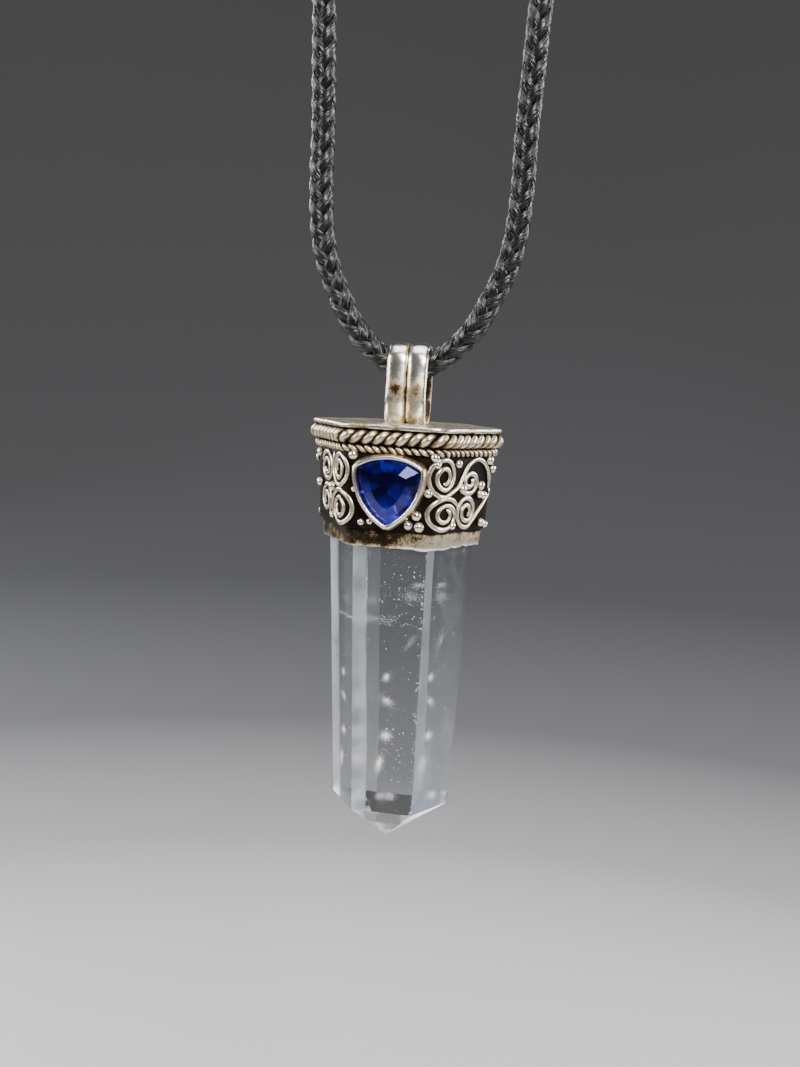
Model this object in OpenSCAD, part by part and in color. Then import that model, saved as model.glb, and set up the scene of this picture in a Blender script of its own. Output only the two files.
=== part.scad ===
// Quartz point pendant in a silver filigree cap, hanging on a closed loop of braided cord.
// The loop lies in the plane of X and Z, and the pendant's front faces -Y.
// The origin is under the middle of the clasp, where the loop hangs.

/* [Cord] */
// Diameter of the braided cord
cord_d = 2.4; // [2:0.1:2.6]

/* [Clasp] */
// Whole length of the clasp with its two cord ends
clasp_l = 37; // [30:1:37]
// Diameter of the clasp's thickest part
clasp_d = 3.2; // [2.8:0.1:3.6]

/* [Quartz] */
// Width across the corners of the hexagon where it leaves the collar
quartz_w = 13.6; // [12.6:0.1:13.8]
// Width across the corners at the shoulder of the point
quartz_w_low = 11.3; // [10:0.1:12.5]
// Length from the collar to the shoulder
quartz_l = 25.2; // [15:0.1:35]
// Height of the six-sided point
quartz_tip_h = 3.9; // [2:0.1:8]
// How far the shoulder has moved to the right of the collar
quartz_lean = 0.4; // [0:0.1:1]

/* [Silver cap] */
// Height of the cap from the top of its flange to the bottom of its collar
cap_h = 11; // [10.6:0.1:11.6]
// Width of the flange across its flats
flange_w = 16; // [15.8:0.1:16.4]
// Thickness of the flange
flange_t = 0.45; // [0.4:0.05:0.6]
// Diameter of the thick twisted wire under the flange
thick_rope_d = 1.35; // [1.2:0.05:1.4]
// Diameter of the thin twisted wire under the thick one
thin_rope_d = 0.75; // [0.6:0.05:0.8]
// Width across the flats of the band, half way down
band_w = 14.3; // [14.1:0.1:14.5]
// Height of the plain collar
collar_h = 1.7; // [1.4:0.1:2]
// Diameter of the scroll wires
scroll_d = 0.46; // [0.4:0.02:0.5]

/* [Blue stone] */
// Distance from the stone's centre to each of its three corners
stone_r = 3.35; // [3:0.05:3.5]
// Distance from the stone's centre to the middle of each side
stone_side = 2.5; // [2.2:0.05:2.6]

/* [Bail] */
// Width of the two-ribbed bail
bail_w = 3.8; // [3.4:0.1:4]
// Height of the hinge line, the cord's middle, above the flange
bail_h = 5.4; // [5:0.1:6]
// Thickness of the bail's strap at its ribs
bail_t = 0.62; // [0.5:0.02:0.7]

/* [Hidden] */

// The cord's middle line on the right: distances from the loop's middle and heights above its
// lowest point. It ends at the clasp.
loop_h = 181;
cord_route = [
  [0, 0], [1.9, 0.15], [3.4, 1.1], [4.8, 2.4], [6, 4], [7, 6], [8.1, 8.4], [8.9, 11.5],
  [9.3, 16], [9.35, 21], [9.6, 27], [10, 34], [11.6, 44], [15, 57], [20.5, 72], [28, 90],
  [36, 108], [43, 125], [47.5, 141], [47, 157], [40, 170.5], [29.5, 178.5], [clasp_l / 2, loop_h]
];
hang_z = clasp_d / 2 - loop_h;
cap_z = hang_z - bail_h;

// Clearance between pieces that are set in one another
gap = 0.06;

flange_corner = 2.2;
rope_corner = 1.6;
band_corner = 1.4;
collar_corner = 0.9;

// The twisted wires, and how many of their strands cross their front all the way round
thick_ridges = 50;
thin_ridges = 72;
solder_gap = 0.02;
thick_rope_z = -flange_t - thick_rope_d / 2 - solder_gap;
thin_rope_z = thick_rope_z - (thick_rope_d + thin_rope_d) / 2 - solder_gap;
band_top = thin_rope_z - thin_rope_d / 2 - solder_gap;
band_bottom = collar_h - cap_h;
band_mid = (band_top + band_bottom) / 2;
band_ap = band_w / 2;
band_lean = 0.045;
// Behind the twisted wires the wall stands out by a small step, and they stand out from it by
// these shares of their diameters
backing_ap = band_ap + 0.08;
backing_slope = 0.05;
thick_rope_ap = backing_ap + 0.26 * thick_rope_d;
thin_rope_ap = backing_ap + 0.24 * thin_rope_d;
// Radius of a twisted wire between two ridges, as a share of its full radius
rope_waist = 0.7;
// The collar is set back under the band, and narrows to its lower edge
collar_ap = band_ap - 0.5;
collar_taper = 0.12;
collar_lip = 0.1;
// How far the flange's rim is rounded below and above
rim_below = 0.08;
rim_above = 0.12;
rim_heights = [0.7, 0.3];

quartz_top = -1.4;
quartz_tip_x = 0.3;
tip_r = 0.02;

stone_x = -0.15;
stone_z = -5.5;
stone_girdle = -7.75;
stone_table = -8.45;
stone_culet = -6.6;
bezel_front = -8.25;
bezel_wall = 0.42;
bezel_foot = 0.2;
bezel_back = 0.25 - band_ap;
recess_depth = 0.1;
// The stone's outline at its culet, half way down its pavilion and at its table, as shares
culet_share = 0.02;
pavilion_share = 0.5;
pavilion_depth = 0.55;
girdle_half = 0.05;
table_share = 0.56;

// A point on the edge of a rounded hexagon whose flats face -Y and every 60 degrees from there.
// s runs along the edge, counter-clockwise seen from above, from the middle of the front flat.
function flat_length(ap, corner) = 2 * (ap - corner) * tan(30);
function side_length(ap, corner) = flat_length(ap, corner) + corner * PI / 3;
function turn(p, a) = [p[0] * cos(a) - p[1] * sin(a), p[0] * sin(a) + p[1] * cos(a)];
function side_of(s, ap, corner) = round(s / side_length(ap, corner));
function along(s, ap, corner) = s - side_of(s, ap, corner) * side_length(ap, corner);
function corner_turn(u, ap, corner) =
  sign(u) * max(0, abs(u) - flat_length(ap, corner) / 2) / corner * 180 / PI;
function edge_normal(s, ap, corner) =
  let (a = corner_turn(along(s, ap, corner), ap, corner))
  turn([sin(a), -cos(a)], 60 * side_of(s, ap, corner));
function edge_point(s, ap, corner) =
  let (
    u = along(s, ap, corner),
    half = flat_length(ap, corner) / 2,
    x = min(half, max(-half, u))
  )
  turn([x, corner - ap], 60 * side_of(s, ap, corner)) + corner * edge_normal(s, ap, corner);

// The same, on the band's leaning wall at the height z and standing out from it
function wall_scale(z) = 1 + band_lean / band_ap * (z - band_mid);
function wall_point(s, z, out) =
  let (
    p = edge_point(s, band_ap, band_corner) * wall_scale(z),
    n = edge_normal(s, band_ap, band_corner)
  )
  [p[0] + out * n[0], p[1] + out * n[1], z];

band_side = side_length(band_ap, band_corner);

// A ring of points round a rounded hexagon: each corner is an arc of corner_steps chords
corner_steps = 3;
function hexagon_ring(ap, corner, z) =
  let (half = flat_length(ap, corner) / 2)
  [for (side = [0 : 5], end = [0 : corner_steps])
    let (
      a = 60 * end / corner_steps,
      p = turn([half, corner - ap] + corner * [sin(a), -cos(a)], 60 * side)
    )
    [p[0], p[1], z]];
function corner_ring(radius, z, dx = 0) =
  [for (side = [0 : 5]) [radius * cos(60 * side) + dx, radius * sin(60 * side), z]];

// Closed solids from rings of points. Each ring has the same number of points.
// Where the rings run the other way round, backwards turns the faces to look outward.
function band_faces(count, per, closed) =
  [for (i = [0 : count - (closed ? 1 : 2)], j = [0 : per - 1])
    let (
      a = i * per + j,
      b = i * per + (j + 1) % per,
      next = ((i + 1) % count) * per
    )
    each [[a, b, next + (j + 1) % per], [a, next + (j + 1) % per, next + j]]];
function flipped(faces) = [for (f = faces) [for (i = [len(f) - 1 : -1 : 0]) f[i]]];
// Points are rounded to a fine grid
grid = 0.002;
function flatten(rings) = [for (ring = rings, p = ring) [for (v = p) round(v / grid) * grid]];

module stack(rings, backwards = false) {
  per = len(rings[0]);
  count = len(rings);
  sides = band_faces(count, per, false);
  first = [for (j = [per - 1 : -1 : 0]) j];
  last = [for (j = [0 : per - 1]) (count - 1) * per + j];
  faces = concat(sides, [first, last]);
  polyhedron(flatten(rings), backwards ? faces : flipped(faces));
}

module closed_sweep(rings, backwards = false) {
  faces = band_faces(len(rings), len(rings[0]), true);
  polyhedron(flatten(rings), backwards ? faces : flipped(faces));
}

// A two-strand twisted wire laid round a rounded hexagon at the height z.
// ridges is how many strands cross its front. They lean to the right for lean 1, to the left for -1.
module rope(ap, corner, z, d, ridges, lean, around, per_ridge) {
  length = 6 * side_length(ap, corner);
  count = ridges * per_ridge;
  rings = [for (i = [0 : count - 1])
    let (
      s = lean * length * i / count,
      p = edge_point(s, ap, corner),
      n = edge_normal(s, ap, corner),
      twist = 180 * i / per_ridge
    )
    [for (j = [0 : around - 1])
      let (
        a = 360 * j / around,
        r = d / 2 * (rope_waist + (1 - rope_waist) * abs(cos(a - twist)))
      )
      [p[0] + r * cos(a) * n[0], p[1] + r * cos(a) * n[1], z + r * sin(a)]]];
  closed_sweep(rings, lean > 0);
}

// A scroll wire on the band's wall, which coils in to a round eye. Its row gives
// [place along the face, height, width, height of the coil, start angle, turns, hand, tail],
// where the tail lists the points that the wire passes before its coil.
steps_a_turn = 6.5;
eye = 0.38;
function coil_point(row, t) =
  let (
    r = 1 - (1 - eye) * t * t * (3 - 2 * t),
    a = row[4] + row[6] * 360 * row[5] * t
  )
  [row[0] + row[2] / 2 * r * cos(a), row[1] + row[3] / 2 * r * sin(a)];
function scroll_path(row) =
  let (steps = round(steps_a_turn * row[5]))
  concat(row[7], [for (i = [0 : steps]) coil_point(row, i / steps)]);

function unit(v) = v / norm(v);

// Section of a scroll wire, [outward, sideways], as shares of its radius
scroll_section = [[-0.36, -1], [0.74, -0.72], [0.74, 0.72], [-0.36, 1]];
module scroll(row, face) {
  path = [for (p = scroll_path(row)) wall_point(face * band_side + p[0], p[1], 0)];
  outs = [for (p = scroll_path(row)) wall_point(face * band_side + p[0], p[1], 1)];
  last = len(path) - 1;
  rings = [for (i = [0 : last])
    let (
      along_wire = unit(path[min(i + 1, last)] - path[max(i - 1, 0)]),
      out = outs[i] - path[i],
      side = unit(cross(out, along_wire))
    )
    [for (q = scroll_section) path[i] + scroll_d / 2 * (q[0] * out + q[1] * side)]];
  stack(rings, true);
}

// A ring of ten points on a ball, at the given angle of its latitude
ball_sides = 10;
function ball_ring(r, latitude) =
  [for (j = [0 : ball_sides - 1])
    let (a = 360 * j / ball_sides)
    [r * cos(latitude) * cos(a), r * cos(latitude) * sin(a), r * sin(latitude)]];

// A ball soldered on the wall. Its row gives [place along the face, height, diameter].
// Its middle stands out from the wall by a share of its diameter.
ball_out = 0.14;
ball_latitudes = [-35, 20, 62];
module granule(face, row) {
  s = face * band_side + row[0];
  d = row[2];
  p = wall_point(s, row[1], ball_out * d);
  n = edge_normal(s, band_ap, band_corner);
  translate(p) rotate([0, 90, atan2(n[1], n[0])])
    hull() stack([for (latitude = ball_latitudes) ball_ring(d / 2, latitude)]);
}

// Coils and balls on a side face, as seen from outside: to the right of the stone's face. The
// first wire is S-shaped: it runs over the second coil and down into its own.
right_scrolls = [
  [-3.25, -4.35, 3.3, 3.6, 300, 1.9, -1,
    [[3.5, -5.5], [3.3, -4.2], [2.55, -3.2], [1.45, -2.8], [0.35, -3.15], [-0.45, -4.1], [-1.1, -5.2]]],
  [0.45, -4.85, 2.6, 2.2, 200, 1.35, 1, []],
  [-2.85, -7.8, 4.1, 3.1, 25, 1.9, 1, []],
  [0.35, -7.55, 2.8, 2.9, 290, 1.75, -1, [[3.9, -5.9]]]
];
right_balls = [
  [-1.55, -3.15, 0.8], [3.15, -2.9, 0.85], [3.75, -3.7, 0.8], [2.15, -5.2, 0.85], [-0.65, -5.45, 0.9],
  [2.1, -6.0, 0.8], [2.75, -6.1, 0.75], [-1.7, -8.75, 0.75], [2.75, -8.65, 0.8], [3.45, -8.85, 0.7]
];
// and to its left
left_scrolls = [
  [2.75, -4.15, 3.3, 3.3, 165, 1.9, 1, [[1.25, -2.85]]],
  [-0.75, -4.3, 3.2, 2.8, 160, 1.7, -1, []],
  [2.9, -7.75, 4.1, 3.5, 205, 1.95, -1, []],
  [-0.8, -7.25, 2.7, 2.9, 300, 1.6, 1, []]
];
left_balls = [
  [1.05, -5.95, 0.9], [0.85, -8.6, 0.6], [-2.7, -3.1, 0.8], [-2.7, -5.9, 0.85]
];
// On the back, four coils turned to each other
back_scrolls = [
  [1.5, -4.15, 2.65, 3.3, 165, 1.75, 1, []],
  [-1.5, -4.15, 2.65, 3.3, 15, 1.75, -1, []],
  [1.5, -7.8, 2.65, 3.2, 195, 1.75, -1, []],
  [-1.5, -7.8, 2.65, 3.2, 345, 1.75, 1, []]
];
back_balls = [[0, -6, 0.7], [0, -2.95, 0.75], [0, -8.9, 0.75]];
// Balls on the front face round the stone's setting
front_balls = [
  [-3.4, -2.8, 0.9], [3.7, -2.6, 0.85], [3.95, -3.25, 0.7], [3.35, -5.8, 0.85], [1.95, -7.15, 0.75],
  [2.45, -7.85, 0.95], [1.45, -8, 0.7], [1.75, -8.75, 0.85], [2.75, -8.85, 0.95],
  [-3.3, -5.85, 0.55], [-2.6, -8.75, 0.65], [-1.8, -8.65, 0.6]
];

// Outline of the stone, point down, in the plane of X and Z: three bowed sides
side_steps = 5;
function corner_of(i) = [sin(180 + 120 * i), cos(180 + 120 * i)];
function bowed(r, side, i, t) =
  let (
    a = corner_of(i) * r,
    b = corner_of(i + 1) * r,
    bow = side - r / 2,
    mid = unit(a + b)
  )
  a * (1 - t) + b * t + mid * bow * 4 * t * (1 - t);
function trillion(r, side) =
  [for (i = [0 : 2], k = [0 : side_steps - 1]) bowed(r, side, i, k / side_steps)];
function facing_front(outline, y) = [for (p = outline) [stone_x + p[0], y, stone_z + p[1]]];

module bezel_solid(grow, back, front) {
  // The wall is a little wider at its foot, and the recess for the stone is straight
  foot = front < bezel_front ? 0 : bezel_foot;
  stack([
    facing_front(trillion(stone_r + grow + foot, stone_side + grow + foot), back),
    facing_front(trillion(stone_r + grow, stone_side + grow), front)
  ], true);
}

// The bail's strap, a closed loop of [depth, height] above the flange
bail_slack = 0.25;
strap_back = 0.3;
bail_mid = cord_d / 2 + bail_slack + strap_back;
bail_top_steps = 8;
bail_leg = [[1.9, 4.1], [1.98, 2.9], [1.9, 1.7], [1.55, 0.6], [0.8, -0.05]];
bail_loop = concat(
  [for (i = [0 : bail_top_steps])
    let (a = 180 * i / bail_top_steps)
    [bail_mid * cos(a), bail_h + bail_mid * sin(a)]],
  [for (p = bail_leg) [-p[0], p[1]]],
  [for (i = [len(bail_leg) - 1 : -1 : 0]) bail_leg[i]]
);
// The strap's section, [outward, across]: flat inside and two half-round ribs outside
rib_top = bail_t - strap_back;
rib_side = rib_top - 0.06;
strap_groove = 0.04;
strap_section = [for (q = [
  [-strap_back, -1], [-strap_back, 1], [0, 1], [rib_side, 0.76], [rib_top, 0.5], [rib_side, 0.24],
  [strap_groove, 0], [rib_side, -0.24], [rib_top, -0.5], [rib_side, -0.76], [0, -1]
]) [q[0], q[1] * bail_w / 2]];

module bail() {
  count = len(bail_loop);
  rings = [for (i = [0 : count - 1])
    let (
      p = bail_loop[i],
      t = unit(bail_loop[(i + 1) % count] - bail_loop[(i + count - 1) % count]),
      out = [t[1], -t[0]]
    )
    [for (q = strap_section) [q[1], p[0] + q[0] * out[0], p[1] + q[0] * out[1]]]];
  closed_sweep(rings);
}

module cap_body() {
  stack([
    hexagon_ring(collar_ap - collar_taper, collar_corner, -cap_h),
    hexagon_ring(collar_ap, collar_corner, band_bottom - collar_lip),
    hexagon_ring(band_ap * wall_scale(band_bottom), band_corner, band_bottom),
    hexagon_ring(band_ap * wall_scale(band_top), band_corner, band_top),
    hexagon_ring(backing_ap, band_corner, band_top + backing_slope),
    hexagon_ring(backing_ap, band_corner, -flange_t),
    hexagon_ring(flange_w / 2 - rim_below, flange_corner, -flange_t),
    hexagon_ring(flange_w / 2, flange_corner, -flange_t * rim_heights[0]),
    hexagon_ring(flange_w / 2, flange_corner, -flange_t * rim_heights[1]),
    hexagon_ring(flange_w / 2 - rim_above, flange_corner, 0)
  ]);
}

// The space in the cap that the quartz fills
module socket() {
  grow = gap / cos(30);
  below = 1;
  slope = (quartz_w - quartz_w_low) / 2 / quartz_l;
  lean = quartz_lean / quartz_l;
  stack([
    corner_ring(quartz_w / 2 + grow - slope * below, -cap_h - below, lean * below),
    corner_ring(quartz_w / 2 + grow, -cap_h, 0),
    corner_ring(quartz_w / 2 + grow, quartz_top + gap, 0)
  ]);
}

module decorate(face, scrolls, balls) {
  for (row = scrolls) scroll(row, face);
  for (ball = balls) granule(face, ball);
}

module ornament() {
  decorate(0, [], front_balls);
  for (face = [1, 4]) decorate(face, right_scrolls, right_balls);
  for (face = [2, 5]) decorate(face, left_scrolls, left_balls);
  decorate(3, back_scrolls, back_balls);
}

module silver_cap() {
  color([0.78, 0.76, 0.72]) translate([0, 0, cap_z]) difference() {
    union() {
      cap_body();
      rope(thick_rope_ap, rope_corner, thick_rope_z, thick_rope_d, thick_ridges, 1, 5, 3);
      rope(thin_rope_ap, rope_corner, thin_rope_z, thin_rope_d, thin_ridges, -1, 4, 2);
      ornament();
      bail();
      bezel_solid(bezel_wall, bezel_back, bezel_front);
    }
    socket();
    bezel_solid(gap, stone_culet + recess_depth, bezel_front - 1);
  }
}

module quartz_point() {
  color([0.9, 0.93, 0.95, 0.5]) translate([0, 0, cap_z]) stack([
    corner_ring(tip_r, -cap_h - quartz_l - quartz_tip_h, quartz_tip_x),
    corner_ring(quartz_w_low / 2, -cap_h - quartz_l, quartz_lean),
    corner_ring(quartz_w / 2, -cap_h, 0),
    corner_ring(quartz_w / 2, quartz_top, 0)
  ]);
}

module blue_stone() {
  outline = trillion(stone_r, stone_side);
  half_way = stone_culet + (stone_girdle - stone_culet) * pavilion_depth;
  color([0.1, 0.12, 0.6]) translate([0, 0, cap_z]) hull() stack([
    facing_front(outline * culet_share, stone_culet),
    facing_front(outline * pavilion_share, half_way),
    facing_front(outline, stone_girdle + girdle_half),
    facing_front(outline, stone_girdle - girdle_half),
    facing_front(outline * table_share, stone_table)
  ]);
}

// The cord's whole route, left end to right end, and the smooth curve through its points
function whole_route(half) =
  concat([for (i = [len(half) - 1 : -1 : 1]) [-half[i][0], half[i][1]]], half);
function between(a, b, c, d, t) =
  0.5 * (2 * b + (c - a) * t + (2 * a - 5 * b + 4 * c - d) * t * t
    + (3 * b - a - 3 * c + d) * t * t * t);
function smooth(route, longest) =
  let (last = len(route) - 1)
  concat(
    [for (i = [0 : last - 1])
      let (
        steps = ceil(norm(route[i + 1] - route[i]) / longest),
        before = i == 0 ? route[0] - [route[1][0] - route[0][0], 0] : route[i - 1],
        after = i == last - 1 ? route[last] + [route[last][0] - route[i][0], 0] : route[i + 2]
      )
      for (k = [0 : steps - 1]) between(before, route[i], route[i + 1], after, k / steps)],
    [route[last]]
  );

cord_sides = 8;
ring_step = 3 * cord_d;
module cord() {
  line = smooth(whole_route(cord_route), ring_step);
  last = len(line) - 1;
  rings = [for (i = [0 : last])
    let (
      t = i == 0 || i == last ? [1, 0] : unit(line[i - 1] - line[i + 1]),
      out = [-t[1], t[0]]
    )
    [for (j = [0 : cord_sides - 1])
      let (a = 360 * (j + 0.5) / cord_sides)
      [
        line[i][0] + cord_d / 2 * cos(a) * out[0],
        cord_d / 2 * sin(a),
        line[i][1] + cord_d / 2 * cos(a) * out[1]
      ]]];
  color([0.07, 0.07, 0.08]) translate([0, 0, hang_z]) stack(rings);
}

// A turned barrel between two end cups. Half of its outline, [distance from the middle, radius]
clasp_outline = [
  [0, 1], [0.11, 1], [0.14, 0.94], [0.24, 0.94], [0.27, 0.8], [0.3, 0.5], [0.42, 0.5], [0.46, 0.82],
  [0.5, 0.94], [0.93, 0.94], [0.97, 0.88], [1, 0.88]
];
module clasp() {
  outline = [for (p = clasp_outline) [p[1] * clasp_d / 2, p[0] * clasp_l / 2]];
  color([0.78, 0.76, 0.72]) translate([0, 0, clasp_d / 2]) rotate([0, 90, 0]) rotate_extrude($fn = 64)
    polygon(concat(
      [[0, -clasp_l / 2]],
      [for (i = [len(outline) - 1 : -1 : 1]) [outline[i][0], -outline[i][1]]],
      outline,
      [[0, clasp_l / 2]]
    ));
}

silver_cap();
quartz_point();
blue_stone();
cord();
clasp();
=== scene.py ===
import math

import bmesh
import bpy
import numpy as np
from mathutils import Matrix, Vector, noise


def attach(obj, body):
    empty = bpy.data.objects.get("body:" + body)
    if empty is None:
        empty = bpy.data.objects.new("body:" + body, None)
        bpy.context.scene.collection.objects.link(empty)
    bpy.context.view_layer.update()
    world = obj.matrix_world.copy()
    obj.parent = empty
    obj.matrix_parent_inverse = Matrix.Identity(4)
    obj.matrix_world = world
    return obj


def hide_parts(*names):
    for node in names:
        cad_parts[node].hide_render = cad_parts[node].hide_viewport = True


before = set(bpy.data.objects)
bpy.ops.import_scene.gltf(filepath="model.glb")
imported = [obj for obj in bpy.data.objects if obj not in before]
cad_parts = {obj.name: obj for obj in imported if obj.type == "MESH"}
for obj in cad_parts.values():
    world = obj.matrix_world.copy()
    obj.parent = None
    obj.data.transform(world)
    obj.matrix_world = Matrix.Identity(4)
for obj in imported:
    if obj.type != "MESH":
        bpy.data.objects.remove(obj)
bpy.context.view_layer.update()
MM = 0.001
# Without a seed, noise_vector would differ from run to run
noise.seed_set(7)

# Sizes in millimetres, as in the part's source
CORD_D = 2.4
CLASP_L = 37
CLASP_D = 3.2
LOOP_H = 181
HANG_Z = CLASP_D / 2 - LOOP_H
BAIL_H = 5.4
CAP_Z = HANG_Z - BAIL_H
CAP_H = 11
FLANGE_W = 16
FLANGE_T = 0.45
THICK_D = 1.35
THIN_D = 0.75
BAND_AP = 14.3 / 2
COLLAR_H = 1.7
SCROLL_D = 0.46
SOLDER_GAP = 0.02
THICK_Z = -FLANGE_T - THICK_D / 2 - SOLDER_GAP
THIN_Z = THICK_Z - (THICK_D + THIN_D) / 2 - SOLDER_GAP
BAND_TOP = THIN_Z - THIN_D / 2 - SOLDER_GAP
BAND_BOTTOM = COLLAR_H - CAP_H
BAND_MID = (BAND_TOP + BAND_BOTTOM) / 2
BAND_LEAN = 0.045
FLANGE_CORNER = 2.2
ROPE_CORNER = 1.6
BAND_CORNER = 1.4
COLLAR_CORNER = 0.9
BACKING_AP = BAND_AP + 0.08
COLLAR_AP = BAND_AP - 0.5
QUARTZ_W = 13.6
QUARTZ_LOW_W = 11.3
QUARTZ_L = 25.2
QUARTZ_LEAN = 0.4
QUARTZ_TOP = -1.4
TIP_H = 3.9
GAP = 0.06
STONE_X = -0.15
STONE_Z = -5.5
STONE_R = 3.35
STONE_SIDE = 2.5


# Camera, fitted to the photograph: angles in degrees, the frame and the focal length in pixels
FRAME_W = 800
FRAME_H = 1067
FOCAL = 1200
AZIMUTH = 8.8
ELEVATION = 7.25
ROLL = 3.3
SENSOR = 36


def place_camera():
    azimuth, elevation, roll = math.radians(AZIMUTH), math.radians(ELEVATION), math.radians(ROLL)
    back = Vector((
        math.sin(azimuth) * math.cos(elevation),
        -math.cos(azimuth) * math.cos(elevation),
        math.sin(elevation),
    ))
    level = Vector((0, 0, 1)).cross(back).normalized()
    upright = back.cross(level)
    right = math.cos(roll) * level + math.sin(roll) * upright
    up = -math.sin(roll) * level + math.cos(roll) * upright
    # The middle of the flange is at this pixel, and a millimetre there is this many pixels
    px, py = 407, 425.2
    pixels_per_mm = 10.67
    aim = Vector((0, 0, (CAP_Z - 0.2) * MM))
    depth = FOCAL / pixels_per_mm * MM
    x, y = (px - FRAME_W / 2) / FOCAL, (FRAME_H / 2 - py) / FOCAL
    place = aim - depth * (-back + x * right + y * up)
    data = bpy.data.cameras.new("camera")
    data.sensor_width = SENSOR
    data.lens = SENSOR * FOCAL / FRAME_H
    data.clip_start = 0.005
    camera = bpy.data.objects.new("camera", data)
    bpy.context.scene.collection.objects.link(camera)
    camera.matrix_world = Matrix((
        (right.x, up.x, back.x, place.x),
        (right.y, up.y, back.y, place.y),
        (right.z, up.z, back.z, place.z),
        (0, 0, 0, 1),
    ))
    bpy.context.scene.camera = camera


place_camera()


# Materials
class Shader:
    """A node material with a Principled shader, and short ways to add nodes to it.
    A source is a number, a node, which stands for its first output, or (node, name of the output)."""

    def __init__(self, name, **values):
        self.material = bpy.data.materials.new(name)
        self.material.use_nodes = True
        self.nodes = self.material.node_tree.nodes
        self.links = self.material.node_tree.links
        self.bsdf = self.nodes["Principled BSDF"]
        for socket, value in values.items():
            self.bsdf.inputs[socket].default_value = value

    def node(self, kind, **values):
        """A new node. Each value goes to its input of that name, or else to its setting of that name."""
        node = self.nodes.new(kind)
        for key, value in values.items():
            if key in node.inputs:
                node.inputs[key].default_value = value
            else:
                setattr(node, key, value)
        return node

    def feed(self, source, socket):
        if isinstance(source, (int, float)):
            socket.default_value = source
        elif isinstance(source, tuple):
            self.links.new(source[0].outputs[source[1]], socket)
        else:
            self.links.new(source.outputs[0], socket)

    def set(self, name, source):
        """Give the source to the shader's own input of that name."""
        self.feed(source, self.bsdf.inputs[name])

    def noise(self, scale, detail=3, stretch=None):
        """Noise in the object's own space, or with a stretch along its UV map."""
        place = self.node("ShaderNodeTexCoord")
        texture = self.node("ShaderNodeTexNoise", Scale=scale, Detail=detail)
        if stretch is None:
            self.feed((place, "Object"), texture.inputs["Vector"])
        else:
            mapping = self.node("ShaderNodeMapping", Scale=stretch)
            self.feed((place, "UV"), mapping.inputs["Vector"])
            self.feed(mapping, texture.inputs["Vector"])
        return texture

    def axes(self, source):
        """The X, the Y and the Z of the source."""
        node = self.node("ShaderNodeSeparateXYZ")
        self.feed(source, node.inputs["Vector"])
        return [(node, axis) for axis in "XYZ"]

    def ramp(self, source, stops):
        """A colour ramp through rows of a place and a colour."""
        node = self.node("ShaderNodeValToRGB")
        elements = node.color_ramp.elements
        for place, _ in stops[2:]:
            elements.new(place)
        for element, (place, color) in zip(elements, stops):
            element.position = place
            element.color = (*color, 1)
        self.feed(source, node.inputs["Fac"])
        return node

    def math(self, operation, *sources):
        """A maths node, or a chain of them where there are more than two sources."""
        node = self.node("ShaderNodeMath", operation=operation)
        for source, socket in zip(sources[:2], node.inputs):
            self.feed(source, socket)
        return self.math(operation, node, *sources[2:]) if sources[2:] else node

    def between(self, source, start, end, kind="SMOOTHSTEP"):
        """0 where the source is at start or before it, 1 at end or past it."""
        node = self.node("ShaderNodeMapRange", interpolation_type=kind)
        node.inputs["From Min"].default_value = start
        node.inputs["From Max"].default_value = end
        self.feed(source, node.inputs["Value"])
        return node

    def swing(self, source, amount):
        """The source, which runs from 0 to 1, moved to lie about zero and scaled."""
        return self.math("MULTIPLY", self.math("SUBTRACT", source, 0.5), amount)

    def bump(self, source, strength, distance, after=None):
        node = self.node("ShaderNodeBump", Strength=strength, Distance=distance)
        self.feed(source, node.inputs["Height"])
        if after is not None:
            self.feed(after, node.inputs["Normal"])
        return node


def grey(v):
    return (v, v, v)


def silver(name, cover, mottle=1.0):
    """Silver that is worn bright where the attribute "lift" is high and oxidised where it is low.
    cover is how far the oxide reaches, up to 1 for nearly all. mottle is how patchy it is."""
    s = Shader(name, Metallic=1.0)
    coarse, fine = s.noise(900, 4), s.noise(5200, 3)
    lift = s.node("ShaderNodeAttribute", attribute_name="lift")
    wear = s.math("ADD", (lift, "Fac"), s.swing(coarse, 0.55 * mottle), s.swing(fine, 0.3 * mottle))
    wear = s.math("SUBTRACT", wear, cover)
    s.set("Base Color", s.ramp(wear, [
        (0, (0.012, 0.009, 0.007)),
        (0.25, (0.045, 0.03, 0.017)),
        (0.4, (0.3, 0.225, 0.12)),
        (0.55, (0.66, 0.58, 0.41)),
        (0.75, (0.87, 0.84, 0.77)),
    ]))
    s.set("Roughness", s.ramp(wear, [(0.2, grey(0.62)), (0.5, grey(0.4)), (0.8, grey(0.22))]))
    scratches = s.bump(s.noise(2600, 5), 0.35, 0.00004)
    s.set("Normal", s.bump(coarse, 0.25, 0.00008, scratches))
    return s.material


def cord_material():
    s = Shader("waxed_cord")
    s.bsdf.inputs["Sheen Weight"].default_value = 0.015
    s.bsdf.inputs["Sheen Roughness"].default_value = 0.3
    s.bsdf.inputs["Sheen Tint"].default_value = (0.6, 0.7, 0.85, 1)
    lift = s.node("ShaderNodeAttribute", attribute_name="lift")
    # Fibres run along each strand
    fibres, patches = s.noise(1, 3, (8.5, 0.4, 1)), s.noise(420, 3)
    shade = s.math("ADD", (lift, "Fac"), s.swing(fibres, 1.9), s.swing(patches, 0.6))
    # Painted glints: the base colour lightens to grey along the fibres on raised strand tops, where "lift"
    # is high
    s.set("Base Color", s.ramp(shade, [
        (0.4, (0.0008, 0.0009, 0.001)),
        (0.9, (0.002, 0.0023, 0.0028)),
        (1, (0.05, 0.056, 0.066)),
    ]))
    s.set("Roughness", s.ramp(fibres, [(0.35, grey(0.4)), (0.65, grey(0.2))]))
    s.set("Normal", s.bump(fibres, 1.0, 0.00016))
    return s.material


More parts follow.
